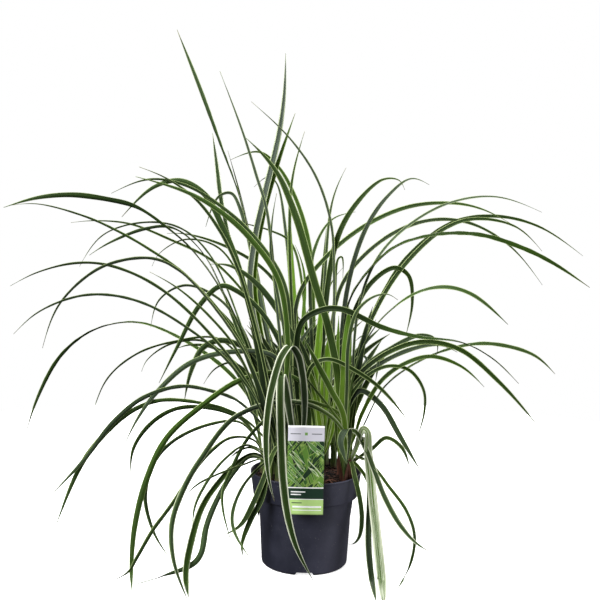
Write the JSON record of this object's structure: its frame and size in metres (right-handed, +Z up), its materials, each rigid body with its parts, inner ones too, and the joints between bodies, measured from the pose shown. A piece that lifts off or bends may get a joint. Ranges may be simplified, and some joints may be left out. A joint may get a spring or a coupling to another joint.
{
  "type": "potted japanese sedge",
  "caption": "Nursery pot of soil with an arching clump of long, narrow, white-edged sedge blades and a folded plant label.",
  "frame": {"origin": "centre of the pot's foot on the surface that it stands on", "axes": "+Z up the pot's axis, -Y towards the front where the label hangs, +X to the right"},
  "size_m": [0.7858, 0.456, 0.6978],
  "materials": {
    "pot_plastic": "matt anthracite plastic, pressed thin, with faint turned lines",
    "potting_mix": "dark brown peat and bark crumbs with a few fibres",
    "label_plastic": "smooth printed plastic card with plain bands and a leaf pattern",
    "sedge_blade": "dark green ribbed leaf with cream margins, satin on its upper face"
  },
  "bodies": {
    "root": {"pot": "pot_plastic", "soil": "potting_mix", "label": "label_plastic", "shoot_01": "sedge_blade", "shoot_02": "sedge_blade", "shoot_03": "sedge_blade", "shoot_04": "sedge_blade", "shoot_05": "sedge_blade", "shoot_06": "sedge_blade", "shoot_07": "sedge_blade", "shoot_08": "sedge_blade", "shoot_09": "sedge_blade", "shoot_10": "sedge_blade", "shoot_11": "sedge_blade", "shoot_12": "sedge_blade", "shoot_13": "sedge_blade", "shoot_14": "sedge_blade", "shoot_15": "sedge_blade", "shoot_16": "sedge_blade", "shoot_17": "sedge_blade", "shoot_18": "sedge_blade", "shoot_19": "sedge_blade", "shoot_20": "sedge_blade", "shoot_21": "sedge_blade", "shoot_22": "sedge_blade", "shoot_23": "sedge_blade", "shoot_24": "sedge_blade", "shoot_25": "sedge_blade"}
  },
  "joints": []
}
